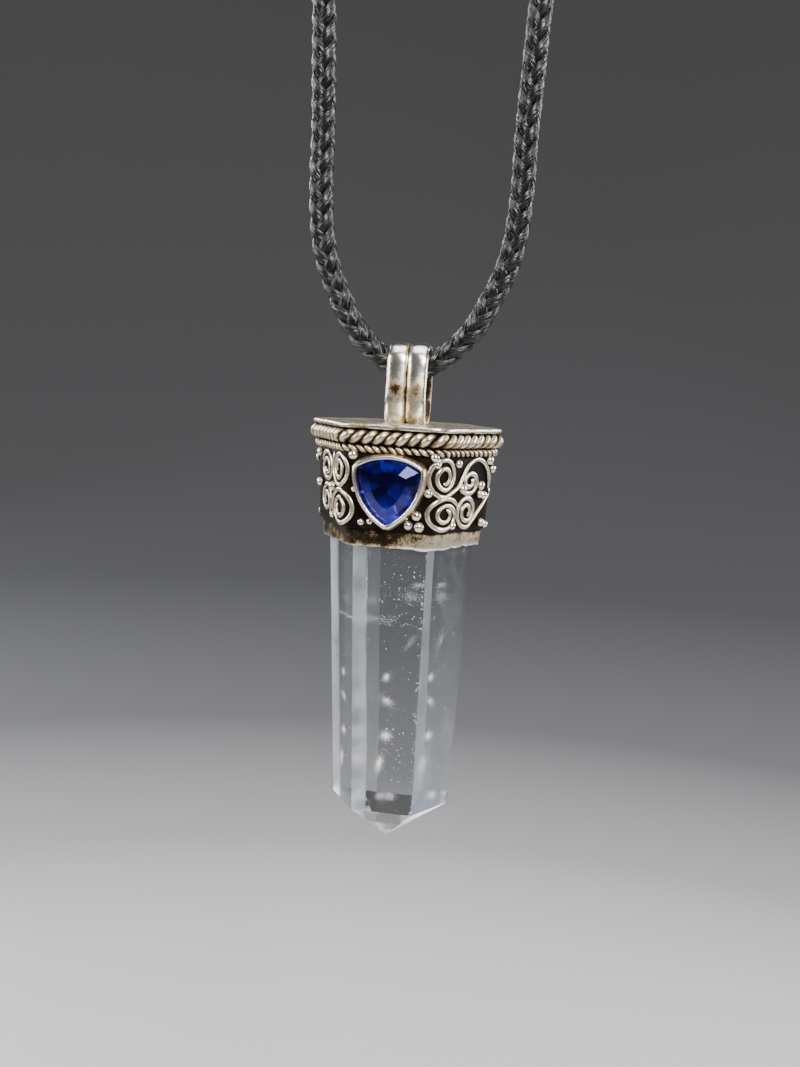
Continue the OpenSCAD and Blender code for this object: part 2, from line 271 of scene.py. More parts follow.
def quartz_material():
    """Clear crystal, tinted grey as a painted darkening, with frosted growth strips on its edges in front, a
    frosted tip, and a painted bluish glow on the frosted parts in front.
    """
    s = Shader("rock_crystal", IOR=1.544)
    s.bsdf.inputs["Transmission Weight"].default_value = 0.98
    s.set("Normal", s.bump(s.noise(260, 2), 0.05, 0.0003))
    # Millimetres from the middle of the cap's top, and the outward direction of the face
    place = s.node("ShaderNodeTexCoord")
    local = s.node("ShaderNodeMapping", Scale=(1 / MM, 1 / MM, 1 / MM), Location=(0, 0, -CAP_Z))
    s.feed((place, "Object"), local.inputs["Vector"])
    at_x, at_y, at_z = s.axes(local)
    out_x, out_y, out_z = s.axes((place, "Normal"))
    down = s.between(at_z, -CAP_H, -CAP_H - QUARTZ_L)
    in_front = s.between(at_y, 0.1, -0.1)
    # The left edge of the front face moves to the right as the crystal narrows
    from_edge = s.math("SUBTRACT", at_x, s.math("MULTIPLY", down, 0.975))
    on_front = s.between(out_y, -0.85, -0.95)
    on_left = s.between(out_x, -0.8, -0.86)
    on_right = s.between(out_x, 0.8, 0.86)
    # Along that edge on both its faces, and low on the right
    strip = s.math("MULTIPLY", on_front, s.between(from_edge, -1.95, -2.2), 0.6)
    rim = s.math("MULTIPLY", on_left, s.between(at_y, -2.3, -1.8), in_front, 0.5)
    low = s.math("MULTIPLY", on_right, down, in_front, 0.3)
    # The middle of the tip's front facet is clear
    from_middle = s.math("ABSOLUTE", s.math("SUBTRACT", at_x, 0.45))
    window = s.math("MULTIPLY", s.between(out_y, -0.45, -0.55), s.between(from_middle, 2.0, 1.5), 0.85)
    tip = s.math("SUBTRACT", s.between(out_z, -0.3, -0.5), window)
    patchy = s.math("ADD", s.swing(s.noise(330, 3), 1.6), 0.85)
    frost_and_glow = s.math("MULTIPLY", s.math("MAXIMUM", strip, rim, low, tip), patchy)
    s.set("Roughness", s.ramp(frost_and_glow, [(0.05, grey(0.012)), (0.4, grey(0.35)), (1, grey(0.5))]))
    # The clear parts are tinted grey, a painted darkening of the colourless crystal; the frosted parts are
    # whiter
    s.set("Base Color", s.ramp(frost_and_glow, [
        (0, (0.75, 0.77, 0.81)),
        (0.5, (0.84, 0.89, 0.97)),
        (0.9, (0.95, 0.96, 0.98)),
    ]))
    # Painted glow: emission on the frosted parts in front, standing in for light they gather from above
    s.set("Emission Color", s.ramp(s.math("MULTIPLY", frost_and_glow, in_front), [
        (0.15, grey(0)),
        (0.6, (0.20, 0.22, 0.24)),
        (1, (0.62, 0.74, 0.95)),
    ]))
    s.bsdf.inputs["Emission Strength"].default_value = 0.6
    return s.material


def stone_material():
    """Deep blue, with painted shade above its middle, painted light below it and a painted glow on its lower
    facets.
    """
    s = Shader("blue_stone", Roughness=0.015, IOR=1.76)
    s.bsdf.inputs["Specular IOR Level"].default_value = 0.12
    s.bsdf.inputs["Specular Tint"].default_value = (0.45, 0.48, 1, 1)
    s.bsdf.inputs["Transmission Weight"].default_value = 0.9
    s.bsdf.inputs["Emission Strength"].default_value = 0.14
    place = (s.node("ShaderNodeTexCoord"), "Object")
    _, _, height = s.axes(place)
    # Painted light: brighter below the middle, painted shade above it
    painted_lower_light = s.between(height, (CAP_Z + STONE_Z + 1.5) * MM, (CAP_Z + STONE_Z - 3) * MM)
    # Painted facet light: patches as large as the facets of its back, each with its own painted share of the
    # light
    patches, shade = s.node("ShaderNodeTexVoronoi", Scale=900), s.node("ShaderNodeSeparateColor")
    s.feed(place, patches.inputs["Vector"])
    s.feed((patches, "Color"), shade.inputs["Color"])
    # Painted light from the height and the facet patches, with a random tone from the noise
    light = s.math("ADD", painted_lower_light, s.swing(s.noise(420, 2), 0.8), s.swing((shade, "Red"), 0.95))
    s.set("Base Color", s.ramp(light, [
        (0, (0.002, 0.001, 0.07)),
        (0.45, (0.008, 0.006, 0.26)),
        (1, (0.035, 0.022, 0.85)),
    ]))
    # Painted glow: emission that stands in for light its lower facets gather
    s.set("Emission Color", s.ramp(light, [
        (0.45, grey(0)),
        (0.8, (0.015, 0.01, 0.35)),
        (1, (0.09, 0.07, 1)),
    ]))
    return s.material


# Mesh helpers. Everything is in millimetres until new_piece makes the object.
def new_piece(name, verts, faces, material, body, lift=None, uv=None, smooth=True):
    mesh = bpy.data.meshes.new(name)
    mesh.from_pydata((np.asarray(verts, float) * MM).tolist(), [], [list(map(int, f)) for f in faces])
    mesh.materials.append(material)
    if lift is not None:
        layer = mesh.attributes.new("lift", "FLOAT", "POINT")
        layer.data.foreach_set("value", np.asarray(lift, np.float32))
    if uv is not None:
        layer = mesh.uv_layers.new(name="UVMap")
        corners = np.empty(len(mesh.loops), dtype=np.int32)
        mesh.loops.foreach_get("vertex_index", corners)
        layer.data.foreach_set("uv", np.asarray(uv, np.float32)[corners].ravel())
    for polygon in mesh.polygons:
        polygon.use_smooth = smooth
    mesh.update()
    obj = bpy.data.objects.new(name, mesh)
    bpy.context.scene.collection.objects.link(obj)
    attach(obj, body)
    return obj


def ring_faces(count, per, closed, start=0):
    """Quads between count rings of per points each."""
    i, j = np.meshgrid(np.arange(count if closed else count - 1), np.arange(per), indexing="ij")
    this, following, beside = i * per, (i + 1) % count * per, (j + 1) % per
    quads = np.stack([this + j, this + beside, following + beside, following + j], -1)
    return (quads.reshape(-1, 4) + start).tolist()


class Batch:
    """Vertices and faces of many small forms, gathered into one piece."""

    def __init__(self):
        self.verts, self.faces, self.lift, self.uv = [], [], [], []
        self.count = 0

    def rings(self, rings, lift, closed=False, caps=False, uv=None):
        """A skin over rings of points, closed to a loop or with a cap on each end."""
        rings = np.asarray(rings, float)
        count, per = rings.shape[:2]
        self.faces += ring_faces(count, per, closed, self.count)
        if caps:
            self.faces.append([self.count + j for j in range(per - 1, -1, -1)])
            self.faces.append([self.count + (count - 1) * per + j for j in range(per)])
        self.verts.append(rings.reshape(-1, 3))
        self.lift.append(np.broadcast_to(np.asarray(lift, float), (count, per)).reshape(-1))
        if uv is not None:
            self.uv.append(np.asarray(uv, float).reshape(-1, 2))
        self.count += count * per

    def turn_over(self):
        """Let the faces look the other way."""
        self.faces = [face[::-1] for face in self.faces]

    def piece(self, name, material, body, move=(0, 0, 0), smooth=True):
        verts = np.concatenate(self.verts) + np.array(move, float)
        uv = np.concatenate(self.uv) if self.uv else None
        return new_piece(name, verts, self.faces, material, body, np.concatenate(self.lift), uv, smooth)


def unit(v):
    """The vector, or each of many, at the length 1."""
    return v / np.linalg.norm(v, axis=-1, keepdims=True)


def turn(p, degrees):
    """The point turned about the origin."""
    a = math.radians(degrees)
    return np.array([p[0] * math.cos(a) - p[1] * math.sin(a), p[0] * math.sin(a) + p[1] * math.cos(a)])


# The rounded hexagon of the cap, as in the part's source. s runs along its edge from the front.
def flat_length(ap, corner):
    return 2 * (ap - corner) * math.tan(math.radians(30))


def side_length(ap, corner):
    return flat_length(ap, corner) + corner * math.pi / 3


def edge(s, ap, corner):
    """Point and outward normal at s along the edge."""
    side = side_length(ap, corner)
    k = math.floor(s / side + 0.5)
    u = s - k * side
    half = flat_length(ap, corner) / 2
    a = math.copysign(max(0.0, abs(u) - half) / corner, u)
    normal = turn((math.sin(a), -math.cos(a)), 60 * k)
    point = turn((min(half, max(-half, u)), corner - ap), 60 * k) + corner * normal
    return point, normal


def edge_ring(ap, corner, z, steps):
    """A ring of points round the hexagon at the height z, with steps on each side."""
    side = side_length(ap, corner)
    return [[*edge(side * i / steps, ap, corner)[0], z] for i in range(6 * steps)]


def wall_scale(z):
    """How much wider the band's leaning wall is at z than at its middle."""
    return 1 + BAND_LEAN / BAND_AP * (z - BAND_MID)


def wall_point(s, z, out):
    """Point that stands out from the band's wall, and its outward normal."""
    point, normal = edge(s, BAND_AP, BAND_CORNER)
    point = point * wall_scale(z) + out * normal
    return np.array([point[0], point[1], z]), np.array([normal[0], normal[1], 0.0])


BAND_SIDE = side_length(BAND_AP, BAND_CORNER)

# Cord: eight strands braided one over one round a core
ROUTE = [
    (0, 0), (1.9, 0.15), (3.4, 1.1), (4.8, 2.4), (6, 4), (7, 6), (8.1, 8.4), (8.9, 11.5),
    (9.3, 16), (9.35, 21), (9.6, 27), (10, 34), (11.6, 44), (15, 57), (20.5, 72), (28, 90),
    (36, 108), (43, 125), (47.5, 141), (47, 157), (40, 170.5), (29.5, 178.5), (CLASP_L / 2, LOOP_H),
]


def curve(a, b, c, d, t):
    """The point at t on a smooth curve from b to c, where a is the point before them and d the one after."""
    return 0.5 * (2 * b + (c - a) * t + (2 * a - 5 * b + 4 * c - d) * t ** 2
                  + (3 * b - a - 3 * c + d) * t ** 3)


def cord_line(step):
    """Points of the cord's middle line at equal steps, as [x, height above its lowest point]."""
    half = np.array(ROUTE, float)
    points = np.concatenate([half[:0:-1] * [-1, 1], half])
    before = points[0] - [points[1][0] - points[0][0], 0]
    after = points[-1] + [points[-1][0] - points[-2][0], 0]
    padded = np.concatenate([[before], points, [after]])
    dense = [
        curve(*padded[i:i + 4], t)
        for i in range(len(points) - 1) for t in np.linspace(0, 1, 40, endpoint=False)
    ]
    dense = np.array(dense + [points[-1]])
    along = np.concatenate([[0], np.cumsum(np.linalg.norm(np.diff(dense, axis=0), axis=1))])
    wanted = np.linspace(0, along[-1], round(along[-1] / step) + 1)
    line = np.stack([np.interp(wanted, along, dense[:, k]) for k in range(2)], -1)
    return line, wanted


def make_cord():
    """Each strand lies over two others and under the next two, which gives columns of V shapes.
    A quarter turn inside the bail makes the V shapes point down on both legs."""
    pitch, step = 7.4, 0.34
    # A strand's middle line, how far it weaves in and out, half its width and thickness, the core's radius
    middle_r, weave, half_w, half_t, core_r = 0.77, 0.17, 0.54, 0.27, 0.62
    line, s = cord_line(step)
    from_bail = s - s[-1] / 2
    twist = math.pi / 4 * (1 + np.tanh(from_bail / 3))
    tangent = unit(np.gradient(line, axis=0))
    middle = np.stack([line[:, 0], 0 * s, line[:, 1]], -1)
    across = np.stack([-tangent[:, 1], 0 * s, tangent[:, 0]], -1)
    side = np.array([0.0, 1.0, 0.0])
    batch = Batch()
    # Across a strand, in halves of its thickness and its width
    section = [
        (-0.75, 0.95), (0.35, 0.85), (0.85, 0.5), (1.0, 0), (0.85, -0.5), (0.35, -0.85), (-0.75, -0.95),
    ]
    for hand in (1, -1):
        for strand in range(4):
            wound = hand * 2 * math.pi * from_bail / pitch + strand * math.pi / 2 + math.pi / 8
            angle = wound + twist
            wave = hand * np.sin(2 * wound)
            uneven = np.array([noise.noise((v * 0.31, 9.7 * strand, 5.3 * hand)) for v in s])
            radius = middle_r + weave * wave + 0.03 * uneven
            radial = np.cos(angle)[:, None] * across + np.sin(angle)[:, None] * side
            path = middle + radius[:, None] * radial
            along = unit(np.gradient(path, axis=0))
            sideways = unit(np.cross(along, radial))
            width = half_w * (1 + 0.1 * uneven)
            rings = np.stack([
                path + half_t * q[0] * radial + (width * q[1])[:, None] * sideways for q in section
            ], 1)
            # Higher on strands that pass over and on their outer side, which lightens the base colour there
            # into painted glints
            lift = np.stack([0.42 + 0.4 * wave * (0.3 + 0.7 * max(0, q[0])) for q in section], 1)
            uv = np.stack([
                np.broadcast_to(np.linspace(0, 1, len(section)), rings.shape[:2]) + strand + 5 * hand,
                np.broadcast_to(s[:, None], rings.shape[:2]),
            ], -1)
            batch.rings(rings, lift, caps=True, uv=uv)
    # The core needs only each sixth point of the line
    core = slice(None, None, 6)
    ring_angles = np.linspace(0, 2 * math.pi, 8, endpoint=False)
    rings = np.stack([
        middle[core] + core_r * (math.cos(a) * across[core] + math.sin(a) * side) for a in ring_angles
    ], 1)
    batch.rings(rings, 0, caps=True, uv=np.zeros((*rings.shape[:2], 2)))
    cord = batch.piece("braided_cord", cord_material(), "loop", (0, 0, HANG_Z))
    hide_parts("cord")
    path = (middle[::4] + [0, 0, HANG_Z]) * MM
    path[-1] = (middle[-1] + [0, 0, HANG_Z]) * MM


make_cord()

# Silver cap
oxidised = silver("oxidised_silver", 0.42, mottle=2.1)
wire_silver = silver("wire_silver", 0.27)
bail_silver = silver("bail_silver", 0.15, mottle=1.5)


def rippled(points, size, amount):
    """The points moved a little by a smooth noise, so that the silver looks made by hand."""
    points = np.asarray(points, float)
    moved = [p + amount * np.array(noise.noise_vector(Vector(p) * size)) for p in points.reshape(-1, 3)]
    return np.array(moved).reshape(points.shape)


def finish_cap(piece):
    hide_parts("silver_cap")
    return piece


def make_band():
    """Socket, collar, band and top plate, as rings: [half width, corner radius, height, lift]"""
    steps = 30
    socket_ap = QUARTZ_W / 2 * math.cos(math.radians(30)) + GAP
    rows = [
        (socket_ap, 0.05, QUARTZ_TOP + GAP, 0.2),
        (socket_ap, 0.05, -CAP_H + 0.1, 0.3),
        (socket_ap + 0.1, 0.15, -CAP_H, 0.8),
        (COLLAR_AP - 0.22, COLLAR_CORNER - 0.1, -CAP_H, 1.2),
        (COLLAR_AP - 0.11, COLLAR_CORNER, -CAP_H + 0.06, 1.3),
        (COLLAR_AP - 0.1, COLLAR_CORNER, -CAP_H + 0.3, 1.1),
        (COLLAR_AP - 0.06, COLLAR_CORNER, -CAP_H + 0.6, 1.05),
        (COLLAR_AP - 0.04, COLLAR_CORNER, -CAP_H + 0.9, 1.05),
        (COLLAR_AP, COLLAR_CORNER, BAND_BOTTOM - 0.35, 0.95),
        (COLLAR_AP, COLLAR_CORNER, BAND_BOTTOM - 0.1, 0.3),
    ]
    for z in np.linspace(BAND_BOTTOM, BAND_TOP, 9):
        rows.append((BAND_AP * wall_scale(z), BAND_CORNER, z, 0.45 if z == BAND_BOTTOM else 0.3))
    rows += [
        (BACKING_AP, BAND_CORNER, BAND_TOP + 0.05, 0.1),
        (BACKING_AP, BAND_CORNER, -FLANGE_T, 0.1),
        (FLANGE_W / 2 - 0.08, FLANGE_CORNER, -FLANGE_T, 0.5),
        (FLANGE_W / 2 - 0.02, FLANGE_CORNER, -FLANGE_T * 0.85, 0.9),
        (FLANGE_W / 2, FLANGE_CORNER, -FLANGE_T * 0.6, 1.05),
        (FLANGE_W / 2, FLANGE_CORNER, -FLANGE_T * 0.35, 1.05),
        (FLANGE_W / 2 - 0.04, FLANGE_CORNER, -FLANGE_T * 0.12, 1.0),
        (FLANGE_W / 2 - 0.14, FLANGE_CORNER, 0, 0.95),
        (FLANGE_W / 2 - 0.8, FLANGE_CORNER, 0, 1.0),
        (5, 1.6, 0, 1.0),
        (3, 1, 0, 1.0),
        (1, 0.4, 0, 0.9),
    ]
    rings = [edge_ring(ap, corner, z, steps) for ap, corner, z, _ in rows]
    rings = rippled(rings, 0.45, 0.035)
    # The collar was bent in by hand, so its lower edge is uneven, most of all at the right
    for ring in rings[2:7]:
        for p in ring:
            rough = 0.35 + 0.65 / (1 + math.exp(-1.5 * (p[0] - 2)))
            down = 1 - min(1, (p[2] + CAP_H) / 0.7)
            p[2] += 0.26 * rough * down * noise.noise((p[0] * 0.9, p[1] * 0.9, 4.4))
            p[2] += 0.1 * rough * down * noise.noise((p[0] * 3, p[1] * 3, 7.7))
    lift = np.array([[row[3]] * (6 * steps) for row in rows])
    # The collar is darker and browner to the left of the stone
    x = rings[:9, :, 0]
    lift[:9] -= 0.08 + 0.34 / (1 + np.exp(2.5 * (x - 1.2)))
    batch = Batch()
    batch.rings(rings, lift, caps=True)
    batch.turn_over()
    return batch


def stone_outline():
    """The stone's outline, point down: three bowed sides with softened corners."""
    steps = 12
    bow = STONE_SIDE - STONE_R / 2
    corners = [STONE_R * np.array([math.sin(a), math.cos(a)]) for a in np.radians([180, 300, 420])]
    points = []
    for i in range(3):
        a, b = corners[i], corners[(i + 1) % 3]
        for t in np.linspace(0, 1, steps, endpoint=False):
            points.append(a * (1 - t) + b * t + unit(a + b) * bow * 4 * t * (1 - t))
    return softened(np.array(points))


def softened(points):
    """The outline with each corner cut off once."""
    following = np.roll(points, -1, axis=0)
    cuts = [0.75 * points + 0.25 * following, 0.25 * points + 0.75 * following]
    return np.concatenate(cuts, 1).reshape(-1, 2)


def grown(points, amount):
    """The outline moved outward."""
    tangent = unit(np.roll(points, -1, axis=0) - np.roll(points, 1, axis=0))
    outward = np.stack([tangent[:, 1], -tangent[:, 0]], -1)
    if np.sum(outward * points) < 0:
        outward = -outward
    return points + amount * outward


def facing_front(points, y):
    """The outline's points on the front of the band, at the depth y."""
    return np.stack([STONE_X + points[:, 0], np.full(len(points), y), STONE_Z + points[:, 1]], -1)


def make_bezel():
    """The rim round the stone: [how far the outline is grown, y, lift]"""
    shape = stone_outline()
    profile = [
        (-0.6, -6.5, 0.4), (0.06, -6.5, 0.4), (0.06, -7.7, 0.5), (-0.04, -7.98, 0.7), (-0.01, -8.12, 0.9),
        (0.07, -8.22, 1.15), (0.17, -8.26, 1.15), (0.28, -8.2, 1.05), (0.38, -8.02, 0.85),
        (0.46, -7.75, 0.75), (0.53, -7.4, 0.65), (0.6, -7.0, 0.3),
    ]
    rings = [facing_front(grown(shape, g), y) for g, y, _ in profile]
    rings = rippled(rings, 0.9, 0.035)
    batch = Batch()
    batch.rings(rings, np.array([[p[2]] * len(shape) for p in profile]))
    # The back, inside the band, is closed
    batch.faces.append(list(range(len(shape) - 1, -1, -1)))
    return batch


def recess_cutter():
    """A plain prism that opens the band behind the stone."""
    shape = grown(stone_outline(), 0.3)
    batch = Batch()
    batch.rings([facing_front(shape, -6.3), facing_front(shape, -9)], 0, caps=True)
    return batch


def face_outward(obj):
    mesh = bmesh.new()
    mesh.from_mesh(obj.data)
    bmesh.ops.recalc_face_normals(mesh, faces=mesh.faces)
    mesh.to_mesh(obj.data)
    mesh.free()


def cut(obj, cutter):
    """Take the cutter away from the object, and the cutter out of the scene."""
    face_outward(obj)
    face_outward(cutter)
    modifier = obj.modifiers.new("cut", "BOOLEAN")
    modifier.operation = "DIFFERENCE"
    modifier.solver = "EXACT"
    modifier.object = cutter
    bpy.context.view_layer.update()
    evaluated = obj.evaluated_get(bpy.context.evaluated_depsgraph_get())
    mesh = bpy.data.meshes.new_from_object(evaluated)
    obj.modifiers.clear()
    obj.data = mesh
    bpy.data.objects.remove(cutter)


# The cap's rows and the quartz's grains are measured from the middle of the cap's top
CAP_PLACE = (0, 0, CAP_Z)
band = finish_cap(make_band().piece("cap_body", oxidised, "pendant", CAP_PLACE))
cut(band, recess_cutter().piece("cutter", oxidised, "pendant", CAP_PLACE))
finish_cap(make_bezel().piece("stone_bezel", wire_silver, "pendant", CAP_PLACE))


def make_rope(name, ap, corner, z, d, ridges, lean, samples, around):
    """Two round wires twisted together and bent round the cap. ridges is how many strands cross its front,
    and they lean to the right for lean 1, to the left for -1. There are samples rings to a full twist."""
    # Radius of each wire and how far its middle is from the rope's, as shares of the rope's thickness
    wire, reach = 0.29, 0.205
    length = 6 * side_length(ap, corner)
    count = ridges // 2 * samples
    batch = Batch()
    for strand in (0, 1):
        rings, lift = [], []
        for i in range(count):
            s = length * i / count
            point, normal = edge(s, ap, corner)
            rope_middle = np.array([*point, z])
            n = np.array([*normal, 0.0])
            up = np.array([0, 0, 1.0])
            forward = np.cross(up, n)
            a = lean * 2 * math.pi * i / samples + strand * math.pi
            swell = 1 + 0.06 * noise.noise((s * 0.9, 3.1 * strand, z))
            reached = reach * d * swell
            middle = rope_middle + reached * (math.cos(a) * n + math.sin(a) * up)
            spin = lean * 2 * math.pi * ridges / 2 / length * reached
            tangent = unit(forward + spin * (-math.sin(a) * n + math.cos(a) * up))
            e1 = unit(n - np.dot(n, tangent) * tangent)
            e2 = np.cross(tangent, e1)
            ring, row = [], []
            for j in range(around):
                b = 2 * math.pi * j / around
                out = math.cos(b) * e1 + math.sin(b) * e2
                p = middle + wire * d * swell * out
                ring.append(p)
                # Worn where it stands out, in halves of the rope's thickness
                away = np.dot(p - rope_middle, n) / (d / 2)
                high = np.linalg.norm(p - rope_middle) / (d / 2)
                row.append(0.2 + 0.85 * max(0.0, min(1.0, (high - 0.5) * 1.7)) * (0.6 + 0.4 * away))
            rings.append(ring)
            lift.append(row)
        batch.rings(rings, lift, closed=True)
    finish_cap(batch.piece(name, wire_silver, "pendant", CAP_PLACE))


THICK_AP = BACKING_AP + 0.26 * THICK_D
THIN_AP = BACKING_AP + 0.24 * THIN_D
make_rope("thick_rope", THICK_AP, ROPE_CORNER, THICK_Z, THICK_D, ridges=50, lean=1, samples=16, around=12)
make_rope("thin_rope", THIN_AP, ROPE_CORNER, THIN_Z, THIN_D, ridges=72, lean=-1, samples=14, around=9)

# Scroll wires and balls: the same rows as in the part's source, measured on the unrolled wall.
# A scroll is [x, z, width, height, start angle, turns, way round, points of its tail],
# and a ball is [x, z, diameter]. EYE is the width of a scroll's eye as a share of its own width.
EYE = 0.38
SCROLL_SAMPLES = 72
RIGHT_SCROLLS = [
    (-3.25, -4.35, 3.3, 3.6, 300, 1.9, -1, [
        (3.5, -5.5), (3.3, -4.2), (2.55, -3.2), (1.45, -2.8), (0.35, -3.15), (-0.45, -4.1), (-1.1, -5.2),
    ]),
    (0.45, -4.85, 2.6, 2.2, 200, 1.35, 1, []),
    (-2.85, -7.8, 4.1, 3.1, 25, 1.9, 1, []),
    (0.35, -7.55, 2.8, 2.9, 290, 1.75, -1, [(3.9, -5.9)]),
]
RIGHT_BALLS = [
    (-1.55, -3.15, 0.8), (3.15, -2.9, 0.85), (3.75, -3.7, 0.8), (2.15, -5.2, 0.85), (-0.65, -5.45, 0.9),
    (2.1, -6.0, 0.8), (2.75, -6.1, 0.75), (-1.7, -8.75, 0.75), (2.75, -8.65, 0.8), (3.45, -8.85, 0.7),
]
LEFT_SCROLLS = [
    (2.75, -4.15, 3.3, 3.3, 165, 1.9, 1, [(1.25, -2.85)]),
    (-0.75, -4.3, 3.2, 2.8, 160, 1.7, -1, []),
    (2.9, -7.75, 4.1, 3.5, 205, 1.95, -1, []),
    (-0.8, -7.25, 2.7, 2.9, 300, 1.6, 1, []),
]
LEFT_BALLS = [(1.05, -5.95, 0.9), (0.85, -8.6, 0.6), (-2.7, -3.1, 0.8), (-2.7, -5.9, 0.85)]
BACK_SCROLLS = [
    (1.5, -4.15, 2.65, 3.3, 165, 1.75, 1, []),
    (-1.5, -4.15, 2.65, 3.3, 15, 1.75, -1, []),
    (1.5, -7.8, 2.65, 3.2, 195, 1.75, -1, []),
    (-1.5, -7.8, 2.65, 3.2, 345, 1.75, 1, []),
]
BACK_BALLS = [(0, -6, 0.7), (0, -2.95, 0.75), (0, -8.9, 0.75)]
FRONT_BALLS = [
    (-3.4, -2.8, 0.9), (3.7, -2.6, 0.85), (3.95, -3.25, 0.7), (3.35, -5.8, 0.85), (1.95, -7.15, 0.75),
    (2.45, -7.85, 0.95), (1.45, -8, 0.7), (1.75, -8.75, 0.85), (2.75, -8.85, 0.95),
    (-3.3, -5.85, 0.55), (-2.6, -8.75, 0.65), (-1.8, -8.65, 0.6),
]


def scroll_points(row):
    """Points of a scroll wire on the unrolled wall. Its end runs on a little and closes the eye."""
    x, z, w, h, start, turns, hand, tail = row
    points = []
    for t in np.linspace(0, 1 + 0.22 / turns, SCROLL_SAMPLES + 1):
        near = min(t, 1)
        r = 1 - (1 - EYE) * near * near * (3 - 2 * near) - 0.35 * (t - near)
        a = math.radians(start + hand * 360 * turns * t)
        points.append((x + w / 2 * r * math.cos(a), z + h / 2 * r * math.sin(a)))
    if not tail:
        return points
    # The tail is a smooth curve through its points, into the coil
    ways = np.array(tail + [points[0], points[3]], float)
    ways = np.concatenate([[2 * ways[0] - ways[1]], ways])
    smooth = [
        tuple(curve(*ways[i:i + 4], t))
        for i in range(len(ways) - 3) for t in np.linspace(0, 1, 9)[:-1]
    ]
    return smooth + points


def add_scroll(batch, row, face):
    """A wire that lies on one face of the band, pressed a little into it."""
    around = 10
    path, outs = [], []
    for u, z in scroll_points(row):
        point, out = wall_point(face * BAND_SIDE + u, z, 0)
        path.append(point)
        outs.append(out)
    path, outs = np.array(path), np.array(outs)
    tangent = unit(np.gradient(path, axis=0))
    sideways = unit(np.cross(outs, tangent))
    # Across the wire, outward and sideways
    section = []
    for j in range(around):
        a = 2 * math.pi * j / around
        section.append((0.26 + 0.62 * math.cos(a), math.sin(a)))
    count = len(path)
    ends = np.minimum(np.arange(count), np.arange(count)[::-1])
    taper = np.clip(0.55 + 0.15 * ends, 0, 1)
    swell = np.array([1 + 0.1 * noise.noise(p * 0.8) for p in path]) * taper
    rings = np.stack([
        path + SCROLL_D / 2 * swell[:, None] * (q[0] * 1.15 * outs + q[1] * sideways) for q in section
    ], 1)
    lift = np.array([0.35 + 0.62 * max(0, q[0]) / 0.88 for q in section])
    batch.rings(rings, lift[None, :], caps=True)


def add_ball(batch, row, face):
    """A ball on one face of the band, with its flat foot inside the wall."""
    around = 18
    u, z, d = row
    middle, out = wall_point(face * BAND_SIDE + u, z, 0.14 * d)
    sideways = np.array([-out[1], out[0], 0])
    up = np.array([0, 0, 1.0])
    rings, lift = [], []
    for latitude in np.radians(np.linspace(-60, 88, 12)):
        ring = []
        for j in range(around):
            a = 2 * math.pi * j / around
            way = math.cos(latitude) * (math.cos(a) * sideways + math.sin(a) * up) + math.sin(latitude) * out
            ring.append(middle + d / 2 * way)
        rings.append(ring)
        lift.append([0.3 + 0.8 * max(0.0, math.sin(latitude + 0.35))] * around)
    batch.rings(rings, lift, caps=True)


def make_ornament():
    wires, balls = Batch(), Batch()
    right, left = (RIGHT_SCROLLS, RIGHT_BALLS), (LEFT_SCROLLS, LEFT_BALLS)
    # Face by face round the cap, from the front to the right
    faces = [([], FRONT_BALLS), right, left, (BACK_SCROLLS, BACK_BALLS), right, left]
    for face, (scrolls, face_balls) in enumerate(faces):
        for row in scrolls:
            add_scroll(wires, row, face)
        for ball in face_balls:
            add_ball(balls, ball, face)
    for batch, name in ((wires, "scroll_wires"), (balls, "silver_balls")):
        piece = finish_cap(batch.piece(name, wire_silver, "pendant", CAP_PLACE))
        face_outward(piece)


make_ornament()

# Bail: a two-ribbed strap, closed round the cord
BAIL_W = 3.8
BAIL_T = 0.62


def make_bail():
    # Room round the cord, how far inside its middle line the strap begins, and the groove between its ribs
    play, inside, groove = 0.25, 0.3, 0.02
    middle_r = CORD_D / 2 + play + inside
    arc = [(middle_r * math.cos(a), BAIL_H + middle_r * math.sin(a)) for a in np.linspace(0, math.pi, 25)]
    # Points down the strap's right leg
    leg = [(1.9, 4.1), (1.98, 2.9), (1.9, 1.7), (1.55, 0.6), (0.8, -0.05)]
    down = [(-middle_r, BAIL_H)] + [(-y, z) for y, z in leg]
    # The curve down the left leg starts where the arc ends, and runs on towards the last point
    ways = [np.array(p, float) for p in [arc[-2]] + down + [(-0.1, -0.3)]]
    fine = [curve(*ways[i:i + 4], t) for i in range(len(ways) - 3) for t in np.linspace(0, 1, 7)[1:]]
    left = [tuple(p) for p in fine]
    loop = arc + left + [(-y, z) for y, z in left[::-1]]
    loop = np.array(loop, float)
    tangent = unit(np.roll(loop, -1, axis=0) - np.roll(loop, 1, axis=0))
    outward = np.stack([tangent[:, 1], -tangent[:, 0]], -1)
    # Across the strap: [outward, sideways in halves of its width, lift], a flat inside and two ribs outside
    section = [(-inside, u, 0.5 if abs(u) > 0.5 else 0.3) for u in (0.96, 0.5, 0, -0.5, -0.96)]
    for u in np.linspace(-1, 1, 25):
        bulge = math.sqrt(max(0.0, 1 - ((abs(u) - 0.5) / 0.5) ** 2))
        out = groove + (BAIL_T - (inside + groove)) * bulge
        section.append((out, u, 0.3 + 0.75 * bulge if abs(u) < 0.8 else 0.8 + 0.2 * bulge))
    rings = []
    for p, o in zip(loop, outward):
        rings.append([[q[1] * BAIL_W / 2, p[0] + q[0] * o[0], p[1] + q[0] * o[1]] for q in section])
    rings = rippled(rings, 0.7, 0.05)
    lift = np.array([[q[2] for q in section]] * len(loop))
    x, z = rings[..., 0], rings[..., 2]
    # Darker spots low on both ribs, on their crests
    lift -= 0.7 * np.exp(-((z - 3.1) / 0.95) ** 2 - ((np.abs(x) - 0.95) / 0.6) ** 2)
    batch = Batch()
    batch.rings(rings, lift, closed=True)
    piece = finish_cap(batch.piece("bail", bail_silver, "pendant", CAP_PLACE))
    face_outward(piece)


make_bail()

